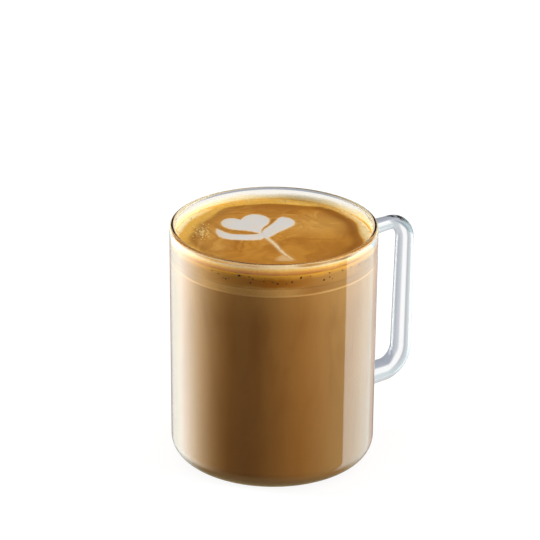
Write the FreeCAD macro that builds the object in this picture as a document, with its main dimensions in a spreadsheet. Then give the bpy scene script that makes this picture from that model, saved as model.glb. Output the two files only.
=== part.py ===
"""Clear glass mug of white chocolate mocha with a poured milk tulip.

Origin: centre of the mug's foot, +Z up, the handle on the +X side. Millimetres.

The mug is one piece of glass: a revolved wall with a rounded foot corner and a
rounded lip, and a drawn glass rod swept into a handle and melted onto the wall.
The drink stands in three layers that touch the glass and each other face to
face: milk coffee, a band of milk foam, and crema with a low meniscus. A tulip of
milk is set flush into the crema.
"""
import FreeCAD, Part
import Sketcher
import math
import os

DRIVING_SIZES = [
    # mug wall
    ("rim_radius", 40.0),
    ("foot_radius", 39.6),
    ("mug_height", 95.0),
    ("wall_thickness", 2.2),
    ("base_thickness", 2.6),
    ("corner_radius", 7.4),
    ("lip_share_of_wall", 0.45),
    # handle: centre line of the rod, then its thickness along the way
    ("handle_top_below_rim", 13.3),
    ("handle_bottom_above_foot", 18.0),
    ("finger_gap", 21.0),
    ("bar_lean", 0.9),
    ("upper_bend_radius", 8.5),
    ("lower_bend_radius", 9.2),
    ("rod_at_top_joint", 8.2),
    ("rod_in_top_arm", 5.6),
    ("rod_at_bar_top", 7.3),
    ("rod_at_bar_foot", 8.4),
    ("rod_in_lower_arm", 8.9),
    ("rod_at_bottom_joint", 9.2),
    ("joint_fillet", 1.5),
    # drink, from the rim down
    ("headspace", 5.2),
    ("crema_depth", 5.3),
    ("foam_depth", 3.0),
    ("meniscus_height", 0.6),
    ("meniscus_width", 2.0),
    # milk tulip: its petals and its stem meet at the join, angles from +X
    ("tulip_depth", 1.0),
    ("join_x", -2.8),
    ("join_y", 1.8),
    ("heart_gap", 3.4),
    ("heart_angle", 79.0),
    ("heart_length", 19.8),
    ("heart_half_width", 9.5),
    ("left_leaf_angle", 118.0),
    ("left_leaf_length", 20.5),
    ("left_leaf_bow", 7.6),
    ("right_leaf_angle", 34.0),
    ("right_leaf_length", 21.6),
    ("right_leaf_bow", 6.6),
    ("stem_angle", -102.0),
    ("stem_length", 24.0),
    ("stem_width", 1.6),
    ("stem_end_width", 0.8),
    ("stem_sway", 0.45),
]

doc = FreeCAD.newDocument("mocha_mug")
sheet = doc.addObject("Spreadsheet::Sheet", "sizes")
for row, (alias, value) in enumerate(DRIVING_SIZES, start=1):
    sheet.set(f"A{row}", alias)
    sheet.set(f"B{row}", str(value))
    sheet.setAlias(f"B{row}", alias)
doc.recompute()


# Expressions shared by several features, so that what touches stays touching.
DRAFT = "((sizes.rim_radius - sizes.foot_radius) / sizes.mug_height)"
DRINK_LEVEL = "(sizes.mug_height - sizes.headspace)"
CREMA_FLOOR = f"({DRINK_LEVEL} - sizes.crema_depth)"
FOAM_FLOOR = f"({CREMA_FLOOR} - sizes.foam_depth)"
ARM_TOP = "(sizes.mug_height - sizes.handle_top_below_rim)"
ARM_FOOT = "sizes.handle_bottom_above_foot"
BAR_FOOT_X = "(sizes.rim_radius + sizes.finger_gap + sizes.rod_at_bar_foot / 2)"
BAR_TOP_X = f"({BAR_FOOT_X} + sizes.bar_lean)"
CREMA_EDGE = f"({DRINK_LEVEL} + sizes.meniscus_height)"
INNER_CORNER = "(sizes.corner_radius - sizes.wall_thickness)"


def outer_radius(height):
    """Expression for the outer wall's radius at a height above the foot."""
    return f"(sizes.foot_radius + {DRAFT} * {height})"


def inner_radius(height):
    """Expression for the inner wall's radius at a height above the foot."""
    return f"({outer_radius(height)} - sizes.wall_thickness)"


def rod_start(height):
    """Expression for where the rod begins at this height: just inside the wall's glass."""
    return f"({outer_radius(height)} - sizes.wall_thickness * 0.45)"


def number(expression):
    """The value of an expression of the sheet's cells, as it is now."""
    return float(sheet.evalExpression(expression.replace("sizes.", "")))


def origin_plane(body, role):
    return next(f for f in body.Origin.OriginFeatures if f.Role == role)


def sketch_on(body, name, role, offset="0"):
    """A sketch on one of the body's own origin planes, lifted by an expression."""
    sketch = body.newObject("Sketcher::SketchObject", name)
    sketch.AttachmentSupport = (origin_plane(body, role), "")
    sketch.MapMode = "FlatFace"
    sketch.setExpression("AttachmentOffset.Base.z", offset)
    return sketch


def bind(sketch, index, label, expression):
    """Name a sketch's constraint and tie it to the sheet."""
    sketch.renameConstraint(index, label)
    sketch.setExpression(f"Constraints.{label}", expression)


def place_point(sketch, geometry, vertex, x_expression, y_expression, label):
    """Pin one vertex of a sketch to two expressions, from the sketch's origin."""
    for axis, expression in (("X", x_expression), ("Y", y_expression)):
        if expression == "0":
            on_axis = -2 if axis == "X" else -1
            sketch.addConstraint(
                Sketcher.Constraint("PointOnObject", geometry, vertex, on_axis))
            continue
        index = sketch.addConstraint(
            Sketcher.Constraint(f"Distance{axis}", -1, 1, geometry, vertex, number(expression)))
        bind(sketch, index, f"{label}_{axis.lower()}", expression)


def closed_polygon(sketch, corners):
    """Straight-sided closed outline; each corner is a pair of expressions."""
    count = len(corners)
    places = [FreeCAD.Vector(number(x), number(y), 0) for x, y in corners]
    for i in range(count):
        sketch.addGeometry(Part.LineSegment(places[i], places[(i + 1) % count]))
    for i in range(count):
        sketch.addConstraint(Sketcher.Constraint("Coincident", i, 2, (i + 1) % count, 1))
    for i, (x, y) in enumerate(corners):
        place_point(sketch, i, 1, x, y, f"corner_{i}")


def revolved(body, name, sketch):
    turn = body.newObject("PartDesign::Revolution", name)
    turn.Profile = sketch
    turn.ReferenceAxis = (sketch, ["V_Axis"])
    turn.Angle = 360
    doc.recompute()
    return turn


def edge_names(shape, wanted):
    return [f"Edge{i}" for i, edge in enumerate(shape.Edges, start=1) if wanted(edge)]


def is_ring(edge, radius, height):
    """True for a full circle about Z of this radius at this height."""
    curve = edge.Curve
    return (isinstance(curve, Part.Circle) and edge.isClosed()
            and abs(curve.Radius - radius) < 1e-3 and abs(curve.Center.z - height) < 1e-3
            and abs(curve.Center.x) < 1e-3)


def rounded(body, name, base, edges, radius):
    fillet = body.newObject("PartDesign::Fillet", name)
    fillet.Base = (base, edges)
    fillet.setExpression("Radius", radius)
    doc.recompute()
    return fillet


# ---------------------------------------------------------------- glass mug

def mug_wall(body):
    """Wall and base in one turn; the seam lies on +Y, clear of the handle."""
    section = sketch_on(body, "wall_section", "YZ_Plane")
    closed_polygon(section, [
        ("0", "0"),
        ("sizes.foot_radius", "0"),
        ("sizes.rim_radius", "sizes.mug_height"),
        (inner_radius("sizes.mug_height"), "sizes.mug_height"),
        (inner_radius("sizes.base_thickness"), "sizes.base_thickness"),
        ("0", "sizes.base_thickness"),
    ])
    return revolved(body, "wall", section)


def handle_path(body):
    """Centre line of the rod: out, round the upper bend, down, round the lower, back."""
    sketch = sketch_on(body, "rod_path", "XZ_Plane")
    top, foot = number(ARM_TOP), number(ARM_FOOT)
    top_start, foot_start = number(rod_start(ARM_TOP)), number(rod_start(ARM_FOOT))
    bar_top, bar_foot = number(BAR_TOP_X), number(BAR_FOOT_X)
    upper, lower = number("sizes.upper_bend_radius"), number("sizes.lower_bend_radius")
    vector = FreeCAD.Vector
    up = vector(0, 0, 1)
    sketch.addGeometry(Part.LineSegment(vector(top_start, top, 0), vector(bar_top - upper, top, 0)))
    sketch.addGeometry(Part.ArcOfCircle(
        Part.Circle(vector(bar_top - upper, top - upper, 0), up, upper), 0, math.pi / 2))
    sketch.addGeometry(Part.LineSegment(
        vector(bar_top, top - upper, 0), vector(bar_foot, foot + lower, 0)))
    sketch.addGeometry(Part.ArcOfCircle(
        Part.Circle(vector(bar_foot - lower, foot + lower, 0), up, lower), -math.pi / 2, 0))
    sketch.addGeometry(Part.LineSegment(
        vector(bar_foot - lower, foot, 0), vector(foot_start, foot, 0)))
    join = Sketcher.Constraint
    sketch.addConstraint([
        join("Tangent", 0, 2, 1, 2), join("Tangent", 1, 1, 2, 1),
        join("Tangent", 2, 2, 3, 2), join("Tangent", 3, 1, 4, 1),
        join("Horizontal", 0), join("Horizontal", 4),
    ])
    place_point(sketch, 0, 1, rod_start(ARM_TOP), ARM_TOP, "upper_arm")
    place_point(sketch, 4, 2, rod_start(ARM_FOOT), ARM_FOOT, "lower_arm")
    for geometry, size in ((1, "upper_bend_radius"), (3, "lower_bend_radius")):
        index = sketch.addConstraint(join("Radius", geometry, number(f"sizes.{size}")))
        bind(sketch, index, size, f"sizes.{size}")
    for vertex, label, expression in ((1, "bar_top", BAR_TOP_X), (2, "bar_foot", BAR_FOOT_X)):
        index = sketch.addConstraint(join("DistanceX", -1, 1, 2, vertex, number(expression)))
        bind(sketch, index, label, expression)
    return sketch


def middle(first, last):
    """Expression for the mean of two expressions."""
    return f"(({first} + {last}) / 2)"


def rod_section(body, name, role, offsets, turn, diameter):
    """Round section of the rod: offsets in the plane's own X, Y and normal, then a turn
    of the sketch, so that every section starts on +Y and looks along the path."""
    sketch = sketch_on(body, name, role, offsets[2])
    sketch.setExpression("AttachmentOffset.Base.x", offsets[0])
    sketch.setExpression("AttachmentOffset.Base.y", offsets[1])
    offset = sketch.AttachmentOffset
    sketch.AttachmentOffset = FreeCAD.Placement(offset.Base, turn)
    sketch.addGeometry(Part.Circle(FreeCAD.Vector(0, 0, 0), FreeCAD.Vector(0, 0, 1),
                                   number(diameter) / 2))
    sketch.addConstraint(Sketcher.Constraint("Coincident", 0, 3, -1, 1))
    index = sketch.addConstraint(Sketcher.Constraint("Diameter", 0, number(diameter)))
    bind(sketch, index, "rod", diameter)
    return sketch


def handle_rod(body):
    """The rod is thin in the upper arm and thickens down to the lower joint."""
    path = handle_path(body)
    outward = FreeCAD.Rotation()
    downward = FreeCAD.Rotation(FreeCAD.Vector(1, 1, 0), 180)
    inward = FreeCAD.Rotation(FreeCAD.Vector(1, 0, 0), 180)
    upper_start, lower_start = rod_start(ARM_TOP), rod_start(ARM_FOOT)
    upper_end = f"({BAR_TOP_X} - sizes.upper_bend_radius)"
    lower_end = f"({BAR_FOOT_X} - sizes.lower_bend_radius)"
    bar_top = f"({ARM_TOP} - sizes.upper_bend_radius)"
    bar_foot = f"({ARM_FOOT} + sizes.lower_bend_radius)"
    stations = [
        ("rod_top_joint", "YZ_Plane", ("0", ARM_TOP, upper_start), outward,
         "sizes.rod_at_top_joint"),
        ("rod_top_arm", "YZ_Plane", ("0", ARM_TOP, middle(upper_start, upper_end)), outward,
         "((sizes.rod_at_top_joint + 2 * sizes.rod_in_top_arm) / 3)"),
        ("rod_top_arm_end", "YZ_Plane", ("0", ARM_TOP, upper_end), outward,
         "sizes.rod_in_top_arm"),
        ("rod_bar_top", "XY_Plane", (BAR_TOP_X, "0", bar_top), downward,
         "sizes.rod_at_bar_top"),
        ("rod_bar_middle", "XY_Plane",
         (middle(BAR_TOP_X, BAR_FOOT_X), "0", middle(bar_top, bar_foot)), downward,
         middle("sizes.rod_at_bar_top", "sizes.rod_at_bar_foot")),
        ("rod_bar_foot", "XY_Plane", (BAR_FOOT_X, "0", bar_foot), downward,
         "sizes.rod_at_bar_foot"),
        ("rod_lower_arm_end", "YZ_Plane", ("0", ARM_FOOT, lower_end), inward,
         "sizes.rod_in_lower_arm"),
        ("rod_lower_arm", "YZ_Plane", ("0", ARM_FOOT, middle(lower_start, lower_end)), inward,
         middle("sizes.rod_in_lower_arm", "sizes.rod_at_bottom_joint")),
        ("rod_bottom_joint", "YZ_Plane", ("0", ARM_FOOT, lower_start), inward,
         "sizes.rod_at_bottom_joint"),
    ]
    sections = [rod_section(body, *station) for station in stations]
    doc.recompute()
    pipe = body.newObject("PartDesign::AdditivePipe", "handle_rod")
    pipe.Profile = sections[0]
    pipe.Sections = [(section, [""]) for section in sections[1:]]
    pipe.Spine = (path, [])
    pipe.Transformation = "Multisection"
    doc.recompute()
    return pipe


def is_joint(edge):
    """True for the closed lines where the rod meets the outer wall."""
    centre = edge.CenterOfMass
    wall = number(outer_radius(str(centre.z)))
    near_wall = abs(centre.x - wall) < number("sizes.wall_thickness") / 2
    return edge.isClosed() and near_wall and abs(centre.y) < 0.1


def build_glass_mug():
    body = doc.addObject("PartDesign::Body", "glass_mug")
    mug_wall(body)
    step = handle_rod(body)
    step = rounded(body, "joint_flare", step, edge_names(step.Shape, is_joint),
                   "sizes.joint_fillet")
    foot, rim = number("sizes.foot_radius"), number("sizes.rim_radius")
    height, floor = number("sizes.mug_height"), number("sizes.base_thickness")
    inner_rim = number(inner_radius("sizes.mug_height"))
    inner_floor = number(inner_radius("sizes.base_thickness"))
    step = rounded(body, "foot_corner", step,
                   edge_names(step.Shape, lambda edge: is_ring(edge, foot, 0)),
                   "sizes.corner_radius")
    step = rounded(body, "inner_corner", step,
                   edge_names(step.Shape, lambda edge: is_ring(edge, inner_floor, floor)),
                   INNER_CORNER)
    lip = edge_names(step.Shape, lambda edge: is_ring(edge, rim, height)
                     or is_ring(edge, inner_rim, height))
    rounded(body, "lip", step, lip, "sizes.wall_thickness * sizes.lip_share_of_wall")
    return body


# ---------------------------------------------------------------- drink

def drink_layer(name, floor, top):
    """A disc of drink from wall to wall between two heights."""
    body = doc.addObject("PartDesign::Body", name)
    section = sketch_on(body, f"{name}_section", "YZ_Plane")
    closed_polygon(section, [
        ("0", floor), (inner_radius(floor), floor), (inner_radius(top), top), ("0", top)])
    revolved(body, f"{name}_turn", section)
    return body


def build_milk_coffee():
    """The coffee fills the mug's rounded inner corner."""
    body = drink_layer("milk_coffee", "sizes.base_thickness", FOAM_FLOOR)
    floor = number("sizes.base_thickness")
    inner_floor = number(inner_radius("sizes.base_thickness"))
    ring = edge_names(body.Tip.Shape, lambda edge: is_ring(edge, inner_floor, floor))
    rounded(body, "coffee_corner", body.Tip, ring, INNER_CORNER)
    return body


def build_crema_disc():
    """Crema with a level top that climbs the glass in a low meniscus."""
    body = drink_layer("crema_disc", CREMA_FLOOR, CREMA_EDGE)
    hollow = sketch_on(body, "crema_hollow", "YZ_Plane")
    level, edge = number(DRINK_LEVEL), number(CREMA_EDGE)
    wall = number(inner_radius(CREMA_EDGE))
    width, rise = number("sizes.meniscus_width"), number("sizes.meniscus_height")
    curve = (width ** 2 + rise ** 2) / (2 * rise)
    lean = math.asin(width / curve)
    vector = FreeCAD.Vector
    hollow.addGeometry(Part.LineSegment(vector(0, edge, 0), vector(0, level, 0)))
    hollow.addGeometry(Part.LineSegment(vector(0, level, 0), vector(wall - width, level, 0)))
    hollow.addGeometry(Part.ArcOfCircle(
        Part.Circle(vector(wall - width, level + curve, 0), vector(0, 0, 1), curve),
        -math.pi / 2, lean - math.pi / 2))
    hollow.addGeometry(Part.LineSegment(vector(wall, edge, 0), vector(0, edge, 0)))
    join = Sketcher.Constraint
    hollow.addConstraint([
        join("Coincident", 0, 2, 1, 1), join("Tangent", 1, 2, 2, 1),
        join("Coincident", 2, 2, 3, 1), join("Coincident", 3, 2, 0, 1),
        join("Horizontal", 1), join("Horizontal", 3),
    ])
    place_point(hollow, 0, 1, "0", CREMA_EDGE, "edge_level")
    index = hollow.addConstraint(join("DistanceY", -1, 1, 0, 2, level))
    bind(hollow, index, "level", DRINK_LEVEL)
    hollow.addConstraint(join("PointOnObject", 0, 2, -2))
    index = hollow.addConstraint(join("DistanceX", -1, 1, 2, 2, wall))
    bind(hollow, index, "wall", inner_radius(CREMA_EDGE))
    index = hollow.addConstraint(join("DistanceX", 1, 2, 2, 2, width))
    bind(hollow, index, "meniscus", "sizes.meniscus_width")
    cut = body.newObject("PartDesign::Groove", "crema_top")
    cut.Profile = hollow
    cut.ReferenceAxis = (hollow, ["V_Axis"])
    cut.Angle = 360
    doc.recompute()
    return body


# ---------------------------------------------------------------- milk tulip

def on_axis(root, angle, along, aside):
    """The point so far along a direction from a root, and so far to its left."""
    turn = math.radians(angle)
    return FreeCAD.Vector(
        root.x + along * math.cos(turn) - aside * math.sin(turn),
        root.y + along * math.sin(turn) + aside * math.cos(turn),
        0)


def spline(points):
    curve = Part.BSplineCurve()
    curve.interpolate(points)
    return curve.toShape()


def slab(edges, bottom, depth):
    """A flat piece of this closed outline, from its bottom up."""
    face = Part.Face(Part.Wire(Part.__sortEdges__(edges)))
    piece = face.extrude(FreeCAD.Vector(0, 0, depth))
    piece.translate(FreeCAD.Vector(0, 0, bottom))
    return piece


def heart_outline(tip, angle, length, half_width):
    """Two lobes from the tip to the cleft, the shares being of length and half width."""
    cleft = on_axis(tip, angle, 0.82 * length, 0.08 * half_width)
    lobe = [(0.10, 0.10), (0.28, 0.38), (0.42, 0.76), (0.62, 1.0),
            (0.84, 0.95), (0.98, 0.62), (0.95, 0.28)]
    edges = []
    for side in (1, -1):
        middle = [on_axis(tip, angle, a * length, side * b * half_width) for a, b in lobe]
        edges.append(spline([tip] + middle + [cleft]))
    return edges


def leaf_outline(root, angle, length, bow, outer, inner):
    """An outer and an inner edge from root to tip; the shares are of length and bow."""
    tip = on_axis(root, angle, length, 0)
    return [spline([root] + [on_axis(root, angle, a * length, b * bow) for a, b in edge] + [tip])
            for edge in (outer, inner)]


def stem_outline(root, angle, length, width, end_width, sway):
    """A ribbon that narrows to a round end and sways once to each side."""
    def side(sign):
        return spline([on_axis(root, angle, share * length,
                               sway * math.sin(2 * math.pi * share)
                               + sign * (width + (end_width - width) * share) / 2)
                       for share in (0, 0.25, 0.5, 0.75, 1)])

    left, right = side(1), side(-1)
    top = Part.LineSegment(right.valueAt(right.FirstParameter), left.valueAt(left.FirstParameter))
    end = Part.Arc(left.valueAt(left.LastParameter),
                   on_axis(root, angle, length + end_width / 2, 0),
                   right.valueAt(right.LastParameter))
    return [left, right, top.toShape(), end.toShape()]


def build_milk_tulip():
    """Heart, two leaves and stem, poured in one: a single flat inlay."""
    size = {alias: sheet.get(alias) for alias, _ in DRIVING_SIZES}
    root = FreeCAD.Vector(size["join_x"], size["join_y"], 0)
    tip = on_axis(root, size["heart_angle"], size["heart_gap"], 0)
    outlines = [
        heart_outline(tip, size["heart_angle"], size["heart_length"], size["heart_half_width"]),
        leaf_outline(root, size["left_leaf_angle"], size["left_leaf_length"],
                     size["left_leaf_bow"],
                     [(0.05, 0.42), (0.30, 0.78), (0.58, 1.0), (0.78, 0.90), (0.92, 0.50)],
                     [(0.12, -0.50), (0.22, -0.12), (0.42, 0.17), (0.65, 0.34), (0.85, 0.20)]),
        leaf_outline(root, size["right_leaf_angle"], size["right_leaf_length"],
                     size["right_leaf_bow"],
                     [(0.02, -0.22), (0.24, -0.45), (0.48, -0.76), (0.70, -1.0), (0.86, -0.88),
                      (0.97, -0.50)],
                     [(0.06, 0.25), (0.28, 0.43), (0.50, 0.32), (0.70, 0.20), (0.90, 0.16)]),
        stem_outline(on_axis(root, size["stem_angle"], -1.5, 0), size["stem_angle"],
                     size["stem_length"] + 1.5, size["stem_width"], size["stem_end_width"],
                     size["stem_sway"]),
    ]
    bottom = number(f"{DRINK_LEVEL} - sizes.tulip_depth")
    pieces = [slab(edges, bottom, size["tulip_depth"]) for edges in outlines]
    feature = doc.addObject("Part::Feature", "milk_tulip")
    feature.Shape = pieces[0].multiFuse(pieces[1:]).removeSplitter()
    feature.Placement = FreeCAD.Placement()
    return feature


def build_crema(tulip):
    """The crema with the tulip's bed cut out of it."""
    crema = doc.addObject("Part::Cut", "crema")
    crema.Base = build_crema_disc()
    crema.Tool = tulip
    doc.recompute()
    return crema


# ---------------------------------------------------------------- build and write

def check(parts):
    """Stop before writing if any feature failed or a part is not one sound solid."""
    failed = [item.Name for item in doc.Objects
              if "Invalid" in item.State or "Error" in item.State]
    if failed:
        raise RuntimeError(f"features failed: {failed}")
    for part in parts:
        shape = part.Shape
        if shape.isNull() or not shape.isValid() or len(shape.Solids) != 1:
            raise RuntimeError(f"{part.Label} is not one valid solid")


milk_tulip = build_milk_tulip()
parts = [
    build_glass_mug(),
    build_milk_coffee(),
    drink_layer("milk_foam", FOAM_FLOOR, CREMA_FLOOR),
    build_crema(milk_tulip),
    milk_tulip,
]
doc.recompute()
check(parts)
os.makedirs("parts", exist_ok=True)
for part in parts:
    part.Shape.exportStep(f"parts/{part.Label}.step")
    print(f"{part.Label}: {part.Shape.Volume / 1000:.2f} cm3")
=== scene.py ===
"""Clear glass mug of milk coffee with a poured milk tulip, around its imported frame.

Metres, +Z up, the origin at the middle of the foot, the handle towards +X.
"""

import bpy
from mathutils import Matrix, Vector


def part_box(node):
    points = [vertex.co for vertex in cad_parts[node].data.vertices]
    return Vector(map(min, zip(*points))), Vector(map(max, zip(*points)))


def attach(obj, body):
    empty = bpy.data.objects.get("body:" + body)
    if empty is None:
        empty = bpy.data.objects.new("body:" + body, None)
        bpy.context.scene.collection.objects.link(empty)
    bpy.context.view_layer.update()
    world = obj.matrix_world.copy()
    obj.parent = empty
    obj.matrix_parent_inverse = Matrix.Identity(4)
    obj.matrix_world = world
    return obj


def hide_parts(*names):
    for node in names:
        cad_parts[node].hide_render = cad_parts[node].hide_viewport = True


bl_info = {
    "name": "Glass mug of milk coffee",
    "version": (1, 0, 0),
    "blender": (4, 5, 0),
    "location": "View3D > Sidebar > Milk coffee",
    "description": "Builds a glass mug of milk coffee with a poured milk tulip",
    "category": "Add Mesh",
}

import math

import bmesh
import bpy
import numpy as np
from mathutils import Matrix, Vector

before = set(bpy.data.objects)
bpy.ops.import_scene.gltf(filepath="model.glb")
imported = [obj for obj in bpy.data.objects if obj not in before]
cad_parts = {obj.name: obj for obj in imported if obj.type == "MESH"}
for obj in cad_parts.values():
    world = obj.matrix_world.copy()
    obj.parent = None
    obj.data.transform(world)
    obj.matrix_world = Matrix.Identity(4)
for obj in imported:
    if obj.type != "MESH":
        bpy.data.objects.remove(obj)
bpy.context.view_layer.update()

MM = 0.001
BODY = "root"

MUG_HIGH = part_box("glass_mug")[1]
COFFEE_LOW, COFFEE_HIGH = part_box("milk_coffee")
FOAM_LOW, FOAM_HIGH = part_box("milk_foam")
CREMA_LOW, CREMA_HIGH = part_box("crema")

RIM_RADIUS, MUG_HEIGHT = MUG_HIGH.y, MUG_HIGH.z
BASE_THICKNESS = COFFEE_LOW.z
DRINK_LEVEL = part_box("milk_tulip")[1].z
MENISCUS_HEIGHT = CREMA_HIGH.z - DRINK_LEVEL

# Faces round each turned piece and along the rod, and the tiny edge that ends a layer.
MUG_SEGMENTS, DRINK_SEGMENTS, CREMA_SEGMENTS, FILM_SEGMENTS = 288, 192, 420, 360
ROD_SEGMENTS, ROD_STEPS = 72, 260
EDGE = 0.01 * MM


# ---------------------------------------------------------------- settings

def length(name, description, millimetres):
    """A length, given here in millimetres and kept in metres."""
    return bpy.props.FloatProperty(
        name=name, description=description, default=millimetres * MM, unit="LENGTH",
        subtype="DISTANCE", precision=5)


def angle(name, description, degrees):
    """An angle, given here in degrees and kept in radians."""
    return bpy.props.FloatProperty(
        name=name, description=description, default=math.radians(degrees),
        unit="ROTATION", subtype="ANGLE")


def colour(name, description, default):
    """A colour, as shares of red, green and blue in linear light."""
    return bpy.props.FloatVectorProperty(
        name=name, description=description, default=default, size=3,
        subtype="COLOR", min=0.0, max=1.0)


class MugSizes(bpy.types.PropertyGroup):
    """Sizes of the glass."""
    foot_radius: length("Foot radius", "Outer radius of the wall carried down to the floor", 39.6)
    wall: length("Wall", "Thickness of the wall", 2.2)
    foot_corner: length("Foot corner", "Outer rounding between foot and wall", 7.4)
    lip: length("Lip", "Rounding of the two edges of the lip", 0.99)
    arm_top: length("Upper arm", "Height of the middle of the upper arm", 81.7)
    arm_foot: length("Lower arm", "Height of the middle of the lower arm", 18.0)
    bar_top: length("Bar top", "Distance of the top of the bar from the axis", 66.1)
    bar_foot: length("Bar foot", "Distance of the foot of the bar from the axis", 65.2)
    upper_bend: length("Upper bend", "Radius of the upper bend", 8.5)
    lower_bend: length("Lower bend", "Radius of the lower bend", 9.2)
    rod_sizes: bpy.props.FloatVectorProperty(
        name="Rod", description="Thickness of the rod at the upper joint, in the upper arm, "
        "at its end, at the top, middle and foot of the bar, in the lower arm and at its joint",
        default=[size * MM for size in (8.2, 6.4, 5.6, 7.3, 7.85, 8.4, 8.9, 9.2)],
        size=8, unit="LENGTH")
    joint_flare: length("Joint flare", "How far the melted joints spread on the wall", 1.5)


class DrinkSettings(bpy.types.PropertyGroup):
    """Colours of the drink, how it meets the glass and how it was poured."""
    reach: length("Reach", "How far the drink reaches into the glass to leave no gap", 0.15)
    meniscus: length("Meniscus", "Width of the rise at the wall", 2.0)
    pour_turn: angle("Pour", "Turn of the pour from the handle", -38.0)
    coffee: colour("Coffee", "Milk coffee under the foam", (0.43, 0.198, 0.043))
    # Deep coffee is also the painted shade towards the foot.
    coffee_clouds_and_shade: colour("Deep coffee", "Milk coffee in its darker clouds", (0.35, 0.148, 0.028))
    foam: colour("Foam", "Band of milk foam at the wall", (0.68, 0.37, 0.10))
    foam_line: colour("Foam line", "Pale lower edge of the foam", (0.84, 0.50, 0.17))
    far_foam: colour("Far foam", "Foam against the far half of the glass", (0.85, 0.73, 0.50))
    band_gold: colour("Golden band", "Crema at the wall, at its level", (0.86, 0.42, 0.05))
    # The deep band also carries painted shade at the front of the band.
    band_pale: colour("Pale band", "Crema at the wall, lower down", (0.62, 0.30, 0.065))
    band_deep_and_shaded: colour("Deep band", "Crema at the wall, at its thickest", (0.44, 0.155, 0.014))
    film_gold: colour("Golden film", "Foam left on the glass, at the drink", (0.78, 0.44, 0.058))
    film_light: colour("Light film", "Foam left on the glass, above that", (0.96, 0.72, 0.24))
    film_pale: colour("Pale film", "Foam left on the glass, at its top", (0.98, 0.88, 0.62))
    crema: colour("Crema", "Crema over most of the surface", (0.57, 0.245, 0.028))
    crema_deep: colour("Deep crema", "Darker crema", (0.34, 0.115, 0.008))
    crema_pale: colour("Pale crema", "Crema with milk in it", (0.72, 0.39, 0.088))
    crema_gold: colour("Golden crema", "Thin crema along the wall", (0.93, 0.53, 0.085))
    froth: colour("Froth", "Pale froth of the crema at the wall", (0.98, 0.86, 0.52))
    bubble: colour("Bubble", "Bubbles on the crema", (0.95, 0.74, 0.30))
    # Its dark colour is painted shade of the open bubbles' hollows.
    painted_hollow_shade: colour("Hollow", "Open bubbles against the glass", (0.075, 0.03, 0.006))
    milk: colour("Milk", "Poured milk", (0.70, 0.665, 0.63))
    cream: colour("Cream", "Edges of the poured milk", (0.88, 0.66, 0.36))


class TulipSettings(bpy.types.PropertyGroup):
    """Shape of the poured tulip, drawn from the join of its leaves."""
    join_x: length("Join X", "Where the leaves meet", -2.8)
    join_y: length("Join Y", "Where the leaves meet", 1.8)
    heart_gap: length("Heart gap", "From the join to the tip of the heart", 3.4)
    heart_angle: angle("Heart angle", "Direction of the heart", 79)
    heart_length: length("Heart length", "Length of the heart", 19.8)
    heart_half_width: length("Heart half width", "Half the width of the heart", 9.5)
    left_leaf_angle: angle("Left leaf angle", "Direction of the left leaf", 118)
    left_leaf_length: length("Left leaf length", "Length of the left leaf", 20.5)
    left_leaf_bow: length("Left leaf bow", "How far the left leaf bows out", 7.6)
    right_leaf_angle: angle("Right leaf angle", "Direction of the right leaf", 34)
    right_leaf_length: length("Right leaf length", "Length of the right leaf", 21.6)
    right_leaf_bow: length("Right leaf bow", "How far the right leaf bows out", 6.6)
    stem_angle: angle("Stem angle", "Direction of the stem", -102)
    stem_length: length("Stem length", "Length of the stem", 24.0)
    stem_overlap: length("Stem overlap", "How far the stem starts behind the join", 1.5)
    stem_width: length("Stem width", "Width of the stem at its root", 1.6)
    stem_end_width: length("Stem end width", "Width of the stem at its end", 0.8)
    stem_sway: length("Stem sway", "How far the stem sways", 0.45)


class StageSettings(bpy.types.PropertyGroup):
    """Camera and lamps."""
    azimuth: angle("Azimuth", "Where the camera stands round the mug", -38.0)
    elevation: angle("Elevation", "How far the camera looks down on the mug's middle", 24.654)
    roll: angle("Roll", "Turn of the camera about its own axis", 0.485)
    distance: length("Distance", "From the camera to the mug's middle", 1124.7)
    lens: bpy.props.FloatProperty(name="Lens", description="Focal length in millimetres",
                                  default=192.99)
    aim_above: angle("Aim above", "How far above the mug's middle the camera aims", 1.3367)
    aim_left: angle("Aim left", "How far left of the mug's middle the camera aims", 0.0590)
    lamp_power: bpy.props.FloatProperty(name="Lamp power", description="Power of each lamp",
                                        default=13.5, unit="POWER")


# ---------------------------------------------------------------- numbers and meshes

def smoothstep(low, high, value):
    """0 below low, 1 above high and 3t^2 - 2t^3 between them."""
    share = np.clip((value - low) / (high - low), 0.0, 1.0)
    return share * share * (3.0 - 2.0 * share)


def bell(offset, width):
    """1 where the offset is 0, falling off as exp(-(offset / width)^2)."""
    return np.exp(-(offset / width) ** 2)


def unit(vectors):
    """Vectors divided by their lengths."""
    return vectors / np.linalg.norm(vectors, axis=-1, keepdims=True)


def cubic(t, start, end, start_slope, end_slope):
    """Cubic from start to end with these slopes, as t goes from 0 to 1."""
    return ((2 * t**3 - 3 * t**2 + 1) * start + (t**3 - 2 * t**2 + t) * start_slope
            + (3 * t**2 - 2 * t**3) * end + (t**3 - t**2) * end_slope)


def gentle_curve(stations, values, at):
    """Cubic through the values at the stations that never overshoots: the slope at a
    station is the harmonic mean of its neighbours' slopes, or 0 at a turn."""
    stations, values, at = map(np.asarray, (stations, values, at))
    step = np.diff(stations)
    slope = np.diff(values) / step
    before, after = slope[:-1], slope[1:]
    same = before * after > 0
    inner = np.where(same, 2 * before * after / np.where(same, before + after, 1), 0)
    slopes = np.concatenate([slope[:1], inner, slope[-1:]])
    index = np.clip(np.searchsorted(stations, at) - 1, 0, len(step) - 1)
    run = step[index]
    return cubic((at - stations[index]) / run, values[index], values[index + 1],
                 run * slopes[index], run * slopes[index + 1])


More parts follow.
